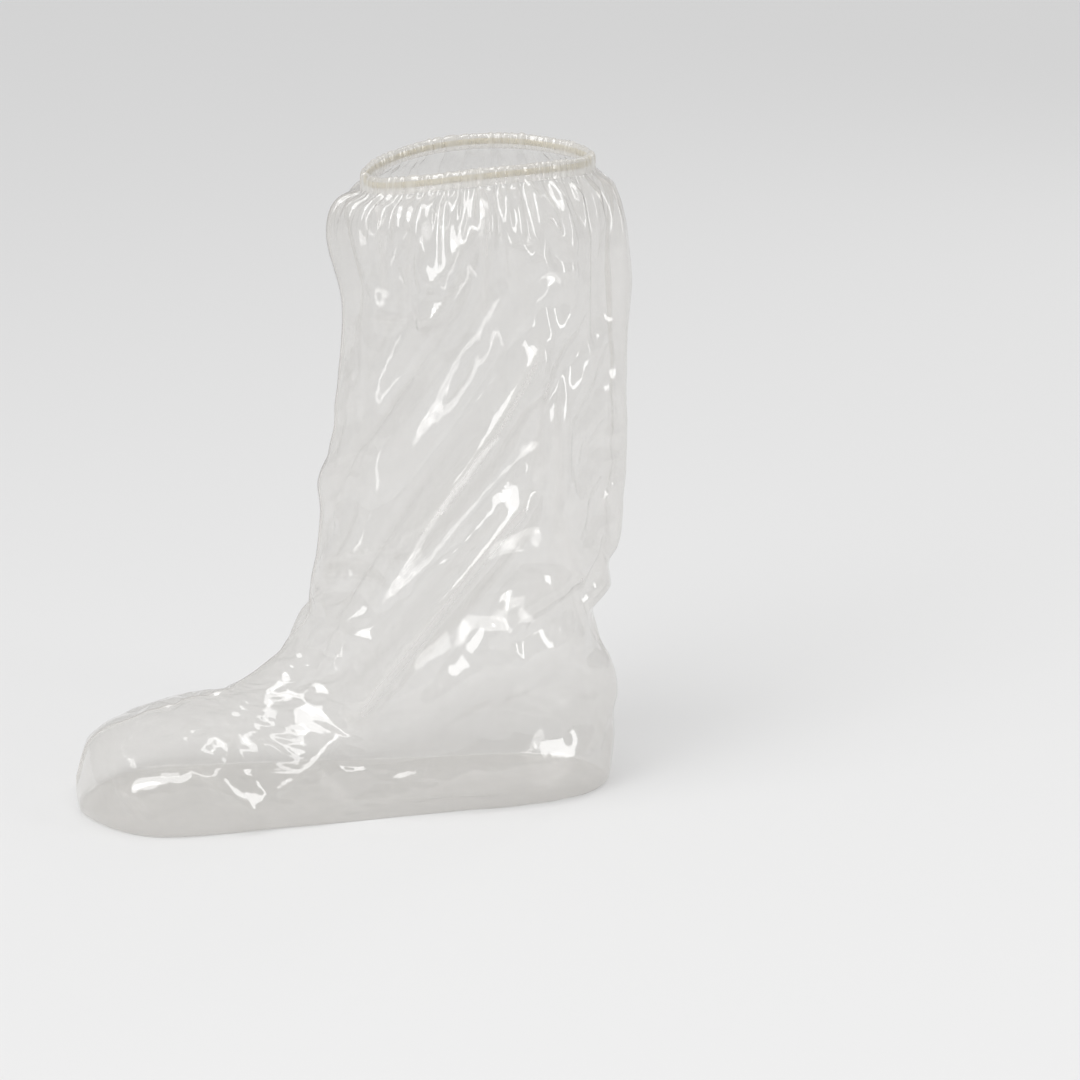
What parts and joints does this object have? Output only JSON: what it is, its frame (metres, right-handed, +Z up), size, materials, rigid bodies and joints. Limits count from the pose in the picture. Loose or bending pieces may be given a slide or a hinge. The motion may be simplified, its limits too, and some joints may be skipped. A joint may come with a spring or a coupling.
{
  "type": "boot-height clear film shoe cover",
  "caption": "Boot-height shoe cover of clear film, open at the top, with a gathered elastic mouth, in the form it has when worn.",
  "frame": {"origin": "on the inner face of the sole, under the middle of the leg, where the wearer's boot stands in the cover", "axes": "+Z up the shaft, -Y towards the toe, X across the foot"},
  "size_m": [0.1605, 0.35, 0.4139],
  "materials": {
    "clear_film": "clear, slightly milky glossy plastic film",
    "gathered_film": "clear glossy film in dense gathers",
    "cream_elastic": "woven cream elastic"
  },
  "bodies": {
    "root": {"film_body": "clear_film", "top_hem": "gathered_film", "elastic_band": "cream_elastic"}
  },
  "joints": []
}
